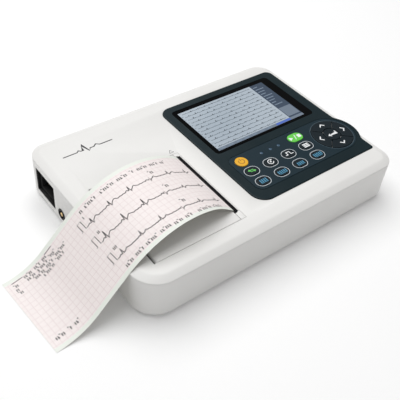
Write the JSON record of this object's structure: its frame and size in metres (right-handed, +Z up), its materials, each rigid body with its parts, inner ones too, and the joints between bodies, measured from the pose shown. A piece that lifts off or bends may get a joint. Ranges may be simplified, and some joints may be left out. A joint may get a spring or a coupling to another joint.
{
  "type": "ecg machine",
  "caption": "Portable electrocardiograph with a console panel and display, keys, and a strip printer under a hinged door with a printed strip.",
  "frame": {"origin": "centre of the object's footprint, printed strip included, on the surface it stands on", "axes": "+X to the right along the front, +Y to the back, +Z up"},
  "size_m": [0.3564, 0.1934, 0.0635],
  "materials": {
    "case_white": "fine moulded grain, satin",
    "panel_teal": "satin membrane film",
    "display_glass": "polished",
    "lcd": "smooth",
    "circuit_board": "solder mask",
    "steel": "plain",
    "light_window": "clear lens",
    "battery_wrap": "shrink wrap",
    "black_plastic": "moulded",
    "brass": "plain",
    "nickel": "satin nickel",
    "rubber_black": "matt",
    "ceramic": "glazed ceramic",
    "aluminium": "milled",
    "tear_steel": "stamped",
    "grey_plastic": "moulded",
    "paper": "thermal paper",
    "cardboard": "plain",
    "gear_plastic": "moulded acetal",
    "key_yellow": "satin",
    "key_green": "satin",
    "key_dark": "satin"
  },
  "bodies": {
    "case": {"top_case": "case_white", "bottom_case": "case_white", "console_panel": "panel_teal", "display_glass": "display_glass", "lcd_module": "lcd", "keypad_board": "circuit_board", "key_domes": "steel", "indicator_lights": "light_window", "main_board": "circuit_board", "power_supply": "steel", "battery_pack": "battery_wrap", "battery_cover": "case_white", "mains_inlet": "black_plastic", "inlet_blades": "brass", "earth_socket": "black_plastic", "earth_pin": "brass", "patient_socket": "nickel", "socket_jackscrews": "nickel", "usb_port": "nickel", "network_port": "nickel", "speaker": "black_plastic", "feet": "rubber_black", "case_screws": "steel", "printer_chassis": "steel", "platen_catches": "steel", "print_head": "ceramic", "head_heatsink": "aluminium", "head_springs": "steel", "tear_bar": "tear_steel", "stepper_motor": "steel", "idler_axle": "steel", "paper_tray": "grey_plastic", "paper_strip": "paper"},
    "door": {"printer_door": "case_white", "hinge_pins": "steel", "platen_bushes": "brass"},
    "platen": {"platen_shaft": "steel", "platen_rubber": "rubber_black", "platen_gear": "gear_plastic"},
    "idler": {"idler_gear": "gear_plastic"},
    "pinion": {"motor_pinion": "brass"},
    "roll": {"paper_roll": "paper", "roll_core": "cardboard"},
    "power_key": {"power_key": "key_yellow"},
    "start_key": {"start_key": "key_green"},
    "key_1": {"key_1": "key_dark"},
    "key_2": {"key_2": "key_dark"},
    "key_3": {"key_3": "key_dark"},
    "key_4": {"key_4": "key_dark"},
    "key_5": {"key_5": "key_dark"},
    "key_6": {"key_6": "key_dark"},
    "key_7": {"key_7": "key_dark"},
    "key_8": {"key_8": "key_dark"},
    "nav_up": {"nav_up": "key_dark"},
    "nav_right": {"nav_right": "key_dark"},
    "nav_down": {"nav_down": "key_dark"},
    "nav_left": {"nav_left": "key_dark"},
    "enter_key": {"enter_key": "key_dark"}
  },
  "joints": [
    {"name": "door_hinge", "type": "hinge", "parent": "case", "child": "door", "pos_m": [-0.07927, -0.0266, 0.0405], "axis": [0, -1, 0], "range_deg": [0, 95], "deforming": ["paper_strip"]},
    {"name": "platen_spin", "type": "hinge", "parent": "door", "child": "platen", "pos_m": [-0.00482, -0.0266, 0.0345], "axis": [0, 1, 0], "continuous": true},
    {"name": "idler_spin", "type": "hinge", "parent": "case", "child": "idler", "pos_m": [-0.00482, -0.0758, 0.01995], "axis": [0, 1, 0], "continuous": true},
    {"name": "pinion_spin", "type": "hinge", "parent": "case", "child": "pinion", "pos_m": [0.00733, -0.0758, 0.01995], "axis": [0, 1, 0], "continuous": true},
    {"name": "roll_spin", "type": "hinge", "parent": "case", "child": "roll", "pos_m": [-0.04382, -0.0266, 0.0233], "axis": [0, 1, 0], "continuous": true},
    {"name": "power_key_press", "type": "slide", "parent": "case", "child": "power_key", "axis": [0, 0, -1], "range_m": [0, 0.0007], "stiffness_N_per_m": 400},
    {"name": "start_key_press", "type": "slide", "parent": "case", "child": "start_key", "axis": [0, 0, -1], "range_m": [0, 0.0007], "stiffness_N_per_m": 400},
    {"name": "key_1_press", "type": "slide", "parent": "case", "child": "key_1", "axis": [0, 0, -1], "range_m": [0, 0.0007], "stiffness_N_per_m": 400},
    {"name": "key_2_press", "type": "slide", "parent": "case", "child": "key_2", "axis": [0, 0, -1], "range_m": [0, 0.0007], "stiffness_N_per_m": 400},
    {"name": "key_3_press", "type": "slide", "parent": "case", "child": "key_3", "axis": [0, 0, -1], "range_m": [0, 0.0007], "stiffness_N_per_m": 400},
    {"name": "key_4_press", "type": "slide", "parent": "case", "child": "key_4", "axis": [0, 0, -1], "range_m": [0, 0.0007], "stiffness_N_per_m": 400},
    {"name": "key_5_press", "type": "slide", "parent": "case", "child": "key_5", "axis": [0, 0, -1], "range_m": [0, 0.0007], "stiffness_N_per_m": 400},
    {"name": "key_6_press", "type": "slide", "parent": "case", "child": "key_6", "axis": [0, 0, -1], "range_m": [0, 0.0007], "stiffness_N_per_m": 400},
    {"name": "key_7_press", "type": "slide", "parent": "case", "child": "key_7", "axis": [0, 0, -1], "range_m": [0, 0.0007], "stiffness_N_per_m": 400},
    {"name": "key_8_press", "type": "slide", "parent": "case", "child": "key_8", "axis": [0, 0, -1], "range_m": [0, 0.0007], "stiffness_N_per_m": 400},
    {"name": "nav_up_press", "type": "slide", "parent": "case", "child": "nav_up", "axis": [0, 0, -1], "range_m": [0, 0.0007], "stiffness_N_per_m": 400},
    {"name": "nav_right_press", "type": "slide", "parent": "case", "child": "nav_right", "axis": [0, 0, -1], "range_m": [0, 0.0007], "stiffness_N_per_m": 400},
    {"name": "nav_down_press", "type": "slide", "parent": "case", "child": "nav_down", "axis": [0, 0, -1], "range_m": [0, 0.0007], "stiffness_N_per_m": 400},
    {"name": "nav_left_press", "type": "slide", "parent": "case", "child": "nav_left", "axis": [0, 0, -1], "range_m": [0, 0.0007], "stiffness_N_per_m": 400},
    {"name": "enter_key_press", "type": "slide", "parent": "case", "child": "enter_key", "axis": [0, 0, -1], "range_m": [0, 0.0007], "stiffness_N_per_m": 400}
  ],
  "couplings": [
    {"joint": "idler_spin", "follows": "platen_spin", "ratio": -0.71429},
    {"joint": "pinion_spin", "follows": "platen_spin", "ratio": 1.6667},
    {"joint": "roll_spin", "follows": "platen_spin", "ratio": 0.3871}
  ]
}
